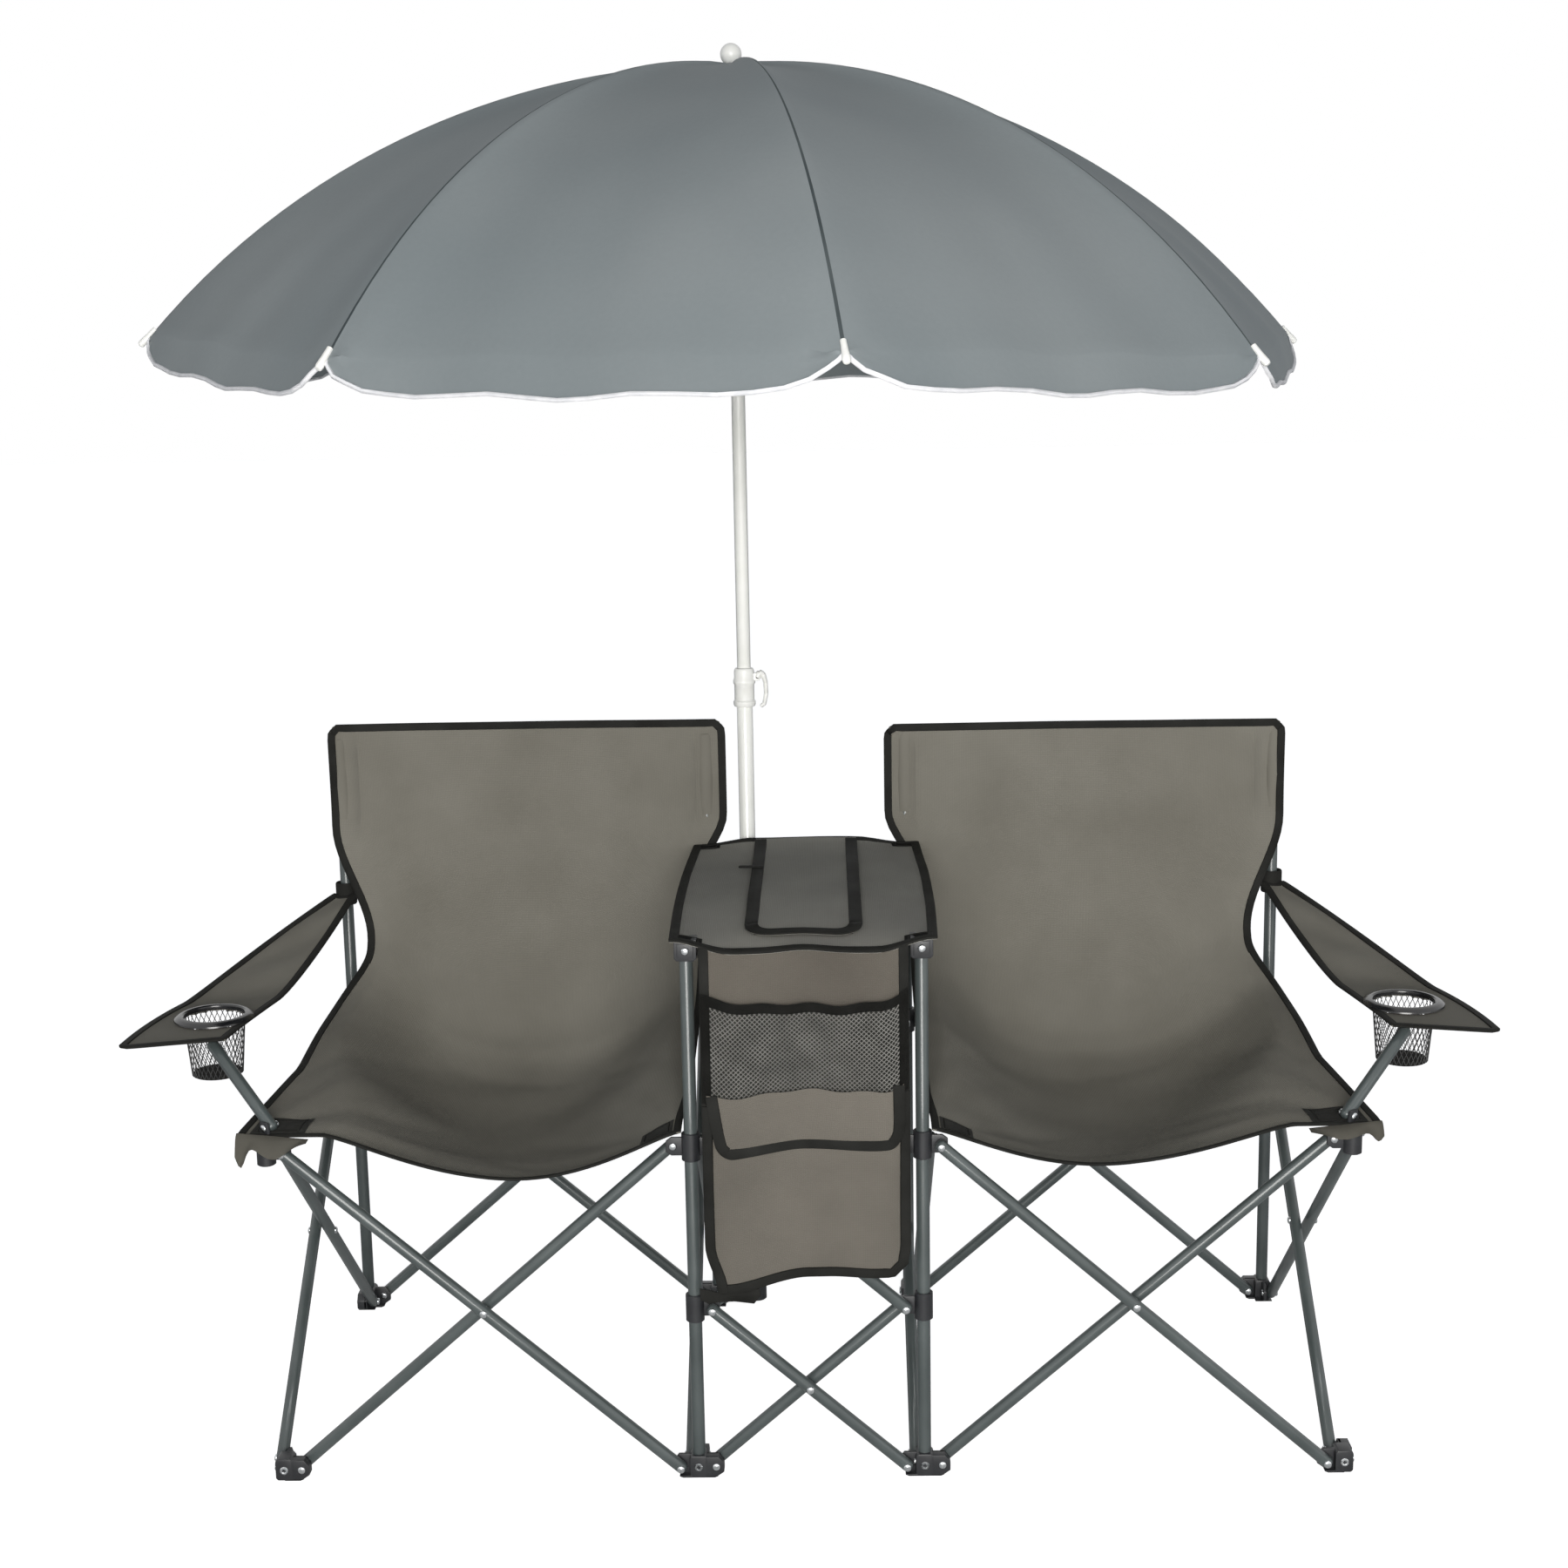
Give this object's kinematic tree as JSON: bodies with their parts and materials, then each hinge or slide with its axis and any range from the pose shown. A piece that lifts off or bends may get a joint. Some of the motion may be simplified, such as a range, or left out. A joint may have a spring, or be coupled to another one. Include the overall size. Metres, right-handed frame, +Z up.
{
  "type": "folding camping loveseat",
  "caption": "Folding camping loveseat: linked quad chairs with cup holders in the arms, a cooler table with an organiser between them, and a parasol on a telescopic pole.",
  "frame": {"origin": "on the floor, under the middle of the box round the part", "axes": "+Z up, -Y out of the front, where the sitters' knees are, +X to the right of someone looking at the front"},
  "size_m": [1.5424, 1.3916, 1.6295],
  "materials": {
    "frame_steel": "grey-green powder coat, semi-gloss",
    "black_plastic": "moulded, satin",
    "grey_cloth": "warm grey woven polyester with black binding",
    "panel_cloth": "warm grey woven polyester",
    "table_cloth": "dark warm grey woven polyester, stiffened",
    "net_plastic": "dark mesh round a moulded ring",
    "canopy_cloth": "silver-grey coated polyester with white piping",
    "white_enamel": "white enamel, gloss",
    "white_plastic": "moulded"
  },
  "bodies": {
    "front_left_column": {"left_inner_front_foot": "black_plastic", "left_inner_front_post": "frame_steel", "cooler_table": "table_cloth", "organiser": "panel_cloth"},
    "centre_lower_rising": {"centre_lower_rising_tube": "frame_steel"},
    "centre_lower_falling": {"centre_lower_falling_tube": "frame_steel"},
    "front_right_column": {"right_inner_front_foot": "black_plastic", "right_inner_front_post": "frame_steel"},
    "left_mid_sleeve": {"left_mid_sleeve": "black_plastic"},
    "right_mid_sleeve": {"right_mid_sleeve": "black_plastic"},
    "centre_upper_rising": {"centre_upper_rising_tube": "frame_steel"},
    "centre_upper_falling": {"centre_upper_falling_tube": "frame_steel"},
    "left_front_falling": {"left_front_falling_tube": "frame_steel"},
    "left_front_rising": {"left_front_rising_tube": "frame_steel"},
    "left_outer_front_foot": {"left_outer_front_foot": "black_plastic"},
    "left_outer_front_hub": {"left_outer_front_hub": "black_plastic"},
    "left_inner_front_hub": {"left_inner_front_hub": "black_plastic"},
    "right_front_rising": {"right_front_rising_tube": "frame_steel"},
    "right_front_falling": {"right_front_falling_tube": "frame_steel"},
    "right_outer_front_foot": {"right_outer_front_foot": "black_plastic"},
    "right_outer_front_hub": {"right_outer_front_hub": "black_plastic"},
    "right_inner_front_hub": {"right_inner_front_hub": "black_plastic"},
    "left_inner_side_rising": {"left_inner_side_rising_tube": "frame_steel"},
    "left_inner_side_falling": {"left_inner_side_falling_tube": "frame_steel"},
    "left_inner_rear_column": {"left_inner_rear_foot": "black_plastic", "left_inner_rear_post": "frame_steel", "left_seat_sling": "grey_cloth"},
    "left_inner_rear_hub": {"left_inner_rear_hub": "black_plastic"},
    "right_inner_side_falling": {"right_inner_side_falling_tube": "frame_steel"},
    "right_inner_side_rising": {"right_inner_side_rising_tube": "frame_steel"},
    "right_inner_rear_column": {"right_inner_rear_foot": "black_plastic", "right_inner_rear_post": "frame_steel", "right_seat_sling": "grey_cloth"},
    "right_inner_rear_hub": {"right_inner_rear_hub": "black_plastic"},
    "left_rear_rising": {"left_rear_rising_tube": "frame_steel"},
    "left_rear_falling": {"left_rear_falling_tube": "frame_steel"},
    "left_outer_rear_column": {"left_outer_rear_foot": "black_plastic", "left_outer_rear_post": "frame_steel", "left_arm": "grey_cloth"},
    "left_outer_rear_hub": {"left_outer_rear_hub": "black_plastic"},
    "right_rear_falling": {"right_rear_falling_tube": "frame_steel"},
    "right_rear_rising": {"right_rear_rising_tube": "frame_steel"},
    "right_outer_rear_column": {"right_outer_rear_foot": "black_plastic", "right_outer_rear_post": "frame_steel", "right_arm": "grey_cloth"},
    "right_outer_rear_hub": {"right_outer_rear_hub": "black_plastic"},
    "left_outer_side_falling": {"left_outer_side_falling_tube": "frame_steel"},
    "left_outer_side_rising": {"left_outer_side_rising_tube": "frame_steel"},
    "right_outer_side_rising": {"right_outer_side_rising_tube": "frame_steel"},
    "right_outer_side_falling": {"right_outer_side_falling_tube": "frame_steel"},
    "left_arm_post": {"left_arm_post": "frame_steel", "left_cup_holder": "net_plastic"},
    "right_arm_post": {"right_arm_post": "frame_steel", "right_cup_holder": "net_plastic"},
    "cooler_lid": {"cooler_lid": "table_cloth"},
    "lower_pole": {"lower_pole": "white_enamel"},
    "pole_collar": {"pole_collar": "white_plastic"},
    "collar_lever": {"collar_lever": "white_plastic"},
    "parasol_top": {"parasol_frame": "white_enamel", "canopy": "canopy_cloth"}
  },
  "joints": [
    {"name": "frame_fold", "type": "hinge", "parent": "front_left_column", "child": "centre_lower_rising", "pos_m": [-0.1073, -0.4747, 0.013], "axis": [0, -1, 0], "range_deg": [0, 40.8], "deforming": ["left_seat_sling", "right_seat_sling", "left_arm", "right_arm", "cooler_table", "cooler_lid", "organiser"]},
    {"name": "centre_lower_falling_turn", "type": "hinge", "parent": "centre_lower_rising", "child": "centre_lower_falling", "pos_m": [0.0012, -0.4933, 0.108], "axis": [0, 1, 0], "range_deg": [0, 81.7]},
    {"name": "front_right_column_turn", "type": "hinge", "parent": "centre_lower_falling", "child": "front_right_column", "pos_m": [0.1097, -0.4933, 0.013], "axis": [0, -1, 0], "range_deg": [0, 40.9]},
    {"name": "left_mid_sleeve_turn", "type": "hinge", "parent": "centre_lower_falling", "child": "left_mid_sleeve", "pos_m": [-0.1073, -0.4933, 0.203], "axis": [0, -1, 0], "range_deg": [0, 40.9]},
    {"name": "right_mid_sleeve_turn", "type": "hinge", "parent": "centre_lower_rising", "child": "right_mid_sleeve", "pos_m": [0.1097, -0.4747, 0.203], "axis": [0, 1, 0], "range_deg": [0, 40.9]},
    {"name": "centre_upper_rising_turn", "type": "hinge", "parent": "centre_lower_falling", "child": "centre_upper_rising", "pos_m": [-0.1073, -0.4747, 0.203], "axis": [0, -1, 0], "range_deg": [0, 81.7]},
    {"name": "centre_upper_falling_turn", "type": "hinge", "parent": "centre_upper_rising", "child": "centre_upper_falling", "pos_m": [0.0012, -0.4933, 0.298], "axis": [0, 1, 0], "range_deg": [0, 81.7]},
    {"name": "left_front_falling_turn", "type": "hinge", "parent": "front_left_column", "child": "left_front_falling", "pos_m": [-0.1473, -0.4933, 0.013], "axis": [0, 1, 0], "range_deg": [0, 40.9]},
    {"name": "left_front_rising_turn", "type": "hinge", "parent": "left_front_falling", "child": "left_front_rising", "pos_m": [-0.3643, -0.4747, 0.203], "axis": [0, -1, 0], "range_deg": [0, 81.7]},
    {"name": "left_outer_front_foot_turn", "type": "hinge", "parent": "left_front_rising", "child": "left_outer_front_foot", "pos_m": [-0.5813, -0.4747, 0.013], "axis": [0, 1, 0], "range_deg": [0, 40.9]},
    {"name": "left_outer_front_hub_turn", "type": "hinge", "parent": "left_front_falling", "child": "left_outer_front_hub", "pos_m": [-0.5813, -0.4933, 0.393], "axis": [0, -1, 0], "range_deg": [0, 40.9]},
    {"name": "left_inner_front_hub_turn", "type": "hinge", "parent": "left_front_rising", "child": "left_inner_front_hub", "pos_m": [-0.1473, -0.4747, 0.393], "axis": [0, 1, 0], "range_deg": [0, 40.9]},
    {"name": "right_front_rising_turn", "type": "hinge", "parent": "front_right_column", "child": "right_front_rising", "pos_m": [0.1497, -0.4747, 0.013], "axis": [0, -1, 0], "range_deg": [0, 40.9]},
    {"name": "right_front_falling_turn", "type": "hinge", "parent": "right_front_rising", "child": "right_front_falling", "pos_m": [0.3667, -0.4933, 0.203], "axis": [0, 1, 0], "range_deg": [0, 81.7]},
    {"name": "right_outer_front_foot_turn", "type": "hinge", "parent": "right_front_falling", "child": "right_outer_front_foot", "pos_m": [0.5837, -0.4933, 0.013], "axis": [0, -1, 0], "range_deg": [0, 40.9]},
    {"name": "right_outer_front_hub_turn", "type": "hinge", "parent": "right_front_rising", "child": "right_outer_front_hub", "pos_m": [0.5837, -0.4747, 0.393], "axis": [0, 1, 0], "range_deg": [0, 40.9]},
    {"name": "right_inner_front_hub_turn", "type": "hinge", "parent": "right_front_falling", "child": "right_inner_front_hub", "pos_m": [0.1497, -0.4933, 0.393], "axis": [0, -1, 0], "range_deg": [0, 40.9]},
    {"name": "left_inner_side_rising_turn", "type": "hinge", "parent": "front_left_column", "child": "left_inner_side_rising", "pos_m": [-0.1366, -0.464, 0.013], "axis": [1, 0, 0], "range_deg": [0, 40.9]},
    {"name": "left_inner_side_falling_turn", "type": "hinge", "parent": "left_inner_side_rising", "child": "left_inner_side_falling", "pos_m": [-0.118, -0.247, 0.203], "axis": [-1, 0, 0], "range_deg": [0, 81.7]},
    {"name": "left_inner_rear_column_turn", "type": "hinge", "parent": "left_inner_side_falling", "child": "left_inner_rear_column", "pos_m": [-0.118, -0.03, 0.013], "axis": [1, 0, 0], "range_deg": [0, 40.9]},
    {"name": "left_inner_rear_hub_turn", "type": "hinge", "parent": "left_inner_side_rising", "child": "left_inner_rear_hub", "pos_m": [-0.1366, -0.03, 0.393], "axis": [-1, 0, 0], "range_deg": [0, 40.9]},
    {"name": "right_inner_side_falling_turn", "type": "hinge", "parent": "front_right_column", "child": "right_inner_side_falling", "pos_m": [0.1204, -0.464, 0.013], "axis": [1, 0, 0], "range_deg": [0, 40.9]},
    {"name": "right_inner_side_rising_turn", "type": "hinge", "parent": "right_inner_side_falling", "child": "right_inner_side_rising", "pos_m": [0.139, -0.247, 0.203], "axis": [-1, 0, 0], "range_deg": [0, 81.7]},
    {"name": "right_inner_rear_column_turn", "type": "hinge", "parent": "right_inner_side_rising", "child": "right_inner_rear_column", "pos_m": [0.139, -0.03, 0.013], "axis": [1, 0, 0], "range_deg": [0, 40.9]},
    {"name": "right_inner_rear_hub_turn", "type": "hinge", "parent": "right_inner_side_falling", "child": "right_inner_rear_hub", "pos_m": [0.1204, -0.03, 0.393], "axis": [-1, 0, 0], "range_deg": [0, 40.9]},
    {"name": "left_rear_rising_turn", "type": "hinge", "parent": "left_inner_rear_column", "child": "left_rear_rising", "pos_m": [-0.1473, -0.0193, 0.013], "axis": [0, 1, 0], "range_deg": [0, 40.9]},
    {"name": "left_rear_falling_turn", "type": "hinge", "parent": "left_rear_rising", "child": "left_rear_falling", "pos_m": [-0.3643, -0.0007, 0.203], "axis": [0, -1, 0], "range_deg": [0, 81.7]},
    {"name": "left_outer_rear_column_turn", "type": "hinge", "parent": "left_rear_falling", "child": "left_outer_rear_column", "pos_m": [-0.5813, -0.0007, 0.013], "axis": [0, 1, 0], "range_deg": [0, 40.9]},
    {"name": "left_outer_rear_hub_turn", "type": "hinge", "parent": "left_rear_rising", "child": "left_outer_rear_hub", "pos_m": [-0.5813, -0.0193, 0.393], "axis": [0, -1, 0], "range_deg": [0, 40.9]},
    {"name": "right_rear_falling_turn", "type": "hinge", "parent": "right_inner_rear_column", "child": "right_rear_falling", "pos_m": [0.1497, -0.0007, 0.013], "axis": [0, -1, 0], "range_deg": [0, 40.9]},
    {"name": "right_rear_rising_turn", "type": "hinge", "parent": "right_rear_falling", "child": "right_rear_rising", "pos_m": [0.3667, -0.0193, 0.203], "axis": [0, 1, 0], "range_deg": [0, 81.7]},
    {"name": "right_outer_rear_column_turn", "type": "hinge", "parent": "right_rear_rising", "child": "right_outer_rear_column", "pos_m": [0.5837, -0.0193, 0.013], "axis": [0, -1, 0], "range_deg": [0, 40.9]},
    {"name": "right_outer_rear_hub_turn", "type": "hinge", "parent": "right_rear_falling", "child": "right_outer_rear_hub", "pos_m": [0.5837, -0.0007, 0.393], "axis": [0, 1, 0], "range_deg": [0, 40.9]},
    {"name": "left_outer_side_falling_turn", "type": "hinge", "parent": "left_outer_front_foot", "child": "left_outer_side_falling", "pos_m": [-0.6106, -0.464, 0.013], "axis": [1, 0, 0], "range_deg": [0, 40.9]},
    {"name": "left_outer_side_rising_turn", "type": "hinge", "parent": "left_outer_side_falling", "child": "left_outer_side_rising", "pos_m": [-0.592, -0.247, 0.203], "axis": [-1, 0, 0], "range_deg": [0, 81.7]},
    {"name": "right_outer_side_rising_turn", "type": "hinge", "parent": "right_outer_front_foot", "child": "right_outer_side_rising", "pos_m": [0.5944, -0.464, 0.013], "axis": [1, 0, 0], "range_deg": [0, 40.9]},
    {"name": "right_outer_side_falling_turn", "type": "hinge", "parent": "right_outer_side_rising", "child": "right_outer_side_falling", "pos_m": [0.613, -0.247, 0.203], "axis": [-1, 0, 0], "range_deg": [0, 81.7]},
    {"name": "left_arm_post_turn", "type": "hinge", "parent": "left_outer_front_hub", "child": "left_arm_post", "pos_m": [-0.5956, -0.4767, 0.419], "axis": [0.6157, 0.788, 0], "range_deg": [0, 52.1]},
    {"name": "right_arm_post_turn", "type": "hinge", "parent": "right_outer_front_hub", "child": "right_arm_post", "pos_m": [0.5979, -0.4767, 0.419], "axis": [0.6157, -0.788, 0], "range_deg": [0, 52.1]},
    {"name": "lid_hinge", "type": "hinge", "parent": "front_left_column", "child": "cooler_lid", "pos_m": [0.0012, -0.036, 0.6368], "axis": [-1, 0, 0], "range_deg": [0, 110]},
    {"name": "pole_lift_out", "type": "slide", "parent": "left_inner_rear_column", "child": "lower_pole", "axis": [0, 0, 1], "range_m": [0, 0.6]},
    {"name": "parasol_swivel", "type": "hinge", "parent": "lower_pole", "child": "pole_collar", "pos_m": [-0.0753, 0, 0.84], "axis": [0, 0, 1], "continuous": true},
    {"name": "lever_turn", "type": "hinge", "parent": "pole_collar", "child": "collar_lever", "pos_m": [-0.058, 0, 0.85], "axis": [0, -1, 0], "range_deg": [0, 100]},
    {"name": "pole_telescope", "type": "slide", "parent": "pole_collar", "child": "parasol_top", "axis": [0, 0, 1], "range_m": [-0.38, 0.1]}
  ],
  "couplings": [
    {"joint": "centre_lower_falling_turn", "follows": "frame_fold", "ratio": 2},
    {"joint": "front_right_column_turn", "follows": "frame_fold", "ratio": 1},
    {"joint": "left_mid_sleeve_turn", "follows": "frame_fold", "ratio": 1},
    {"joint": "right_mid_sleeve_turn", "follows": "frame_fold", "ratio": 1},
    {"joint": "centre_upper_rising_turn", "follows": "frame_fold", "ratio": 2},
    {"joint": "centre_upper_falling_turn", "follows": "frame_fold", "ratio": 2},
    {"joint": "left_front_falling_turn", "follows": "frame_fold", "ratio": 1},
    {"joint": "left_front_rising_turn", "follows": "frame_fold", "ratio": 2},
    {"joint": "left_outer_front_foot_turn", "follows": "frame_fold", "ratio": 1},
    {"joint": "left_outer_front_hub_turn", "follows": "frame_fold", "ratio": 1},
    {"joint": "left_inner_front_hub_turn", "follows": "frame_fold", "ratio": 1},
    {"joint": "right_front_rising_turn", "follows": "frame_fold", "ratio": 1},
    {"joint": "right_front_falling_turn", "follows": "frame_fold", "ratio": 2},
    {"joint": "right_outer_front_foot_turn", "follows": "frame_fold", "ratio": 1},
    {"joint": "right_outer_front_hub_turn", "follows": "frame_fold", "ratio": 1},
    {"joint": "right_inner_front_hub_turn", "follows": "frame_fold", "ratio": 1},
    {"joint": "left_inner_side_rising_turn", "follows": "frame_fold", "ratio": 1},
    {"joint": "left_inner_side_falling_turn", "follows": "frame_fold", "ratio": 2},
    {"joint": "left_inner_rear_column_turn", "follows": "frame_fold", "ratio": 1},
    {"joint": "left_inner_rear_hub_turn", "follows": "frame_fold", "ratio": 1},
    {"joint": "right_inner_side_falling_turn", "follows": "frame_fold", "ratio": 1},
    {"joint": "right_inner_side_rising_turn", "follows": "frame_fold", "ratio": 2},
    {"joint": "right_inner_rear_column_turn", "follows": "frame_fold", "ratio": 1},
    {"joint": "right_inner_rear_hub_turn", "follows": "frame_fold", "ratio": 1},
    {"joint": "left_rear_rising_turn", "follows": "frame_fold", "ratio": 1},
    {"joint": "left_rear_falling_turn", "follows": "frame_fold", "ratio": 2},
    {"joint": "left_outer_rear_column_turn", "follows": "frame_fold", "ratio": 1},
    {"joint": "left_outer_rear_hub_turn", "follows": "frame_fold", "ratio": 1},
    {"joint": "right_rear_falling_turn", "follows": "frame_fold", "ratio": 1},
    {"joint": "right_rear_rising_turn", "follows": "frame_fold", "ratio": 2},
    {"joint": "right_outer_rear_column_turn", "follows": "frame_fold", "ratio": 1},
    {"joint": "right_outer_rear_hub_turn", "follows": "frame_fold", "ratio": 1},
    {"joint": "left_outer_side_falling_turn", "follows": "frame_fold", "ratio": 1},
    {"joint": "left_outer_side_rising_turn", "follows": "frame_fold", "ratio": 2},
    {"joint": "right_outer_side_rising_turn", "follows": "frame_fold", "ratio": 1},
    {"joint": "right_outer_side_falling_turn", "follows": "frame_fold", "ratio": 2},
    {"joint": "left_arm_post_turn", "follows": "frame_fold", "ratio": 1.2745},
    {"joint": "right_arm_post_turn", "follows": "frame_fold", "ratio": 1.2745}
  ]
}
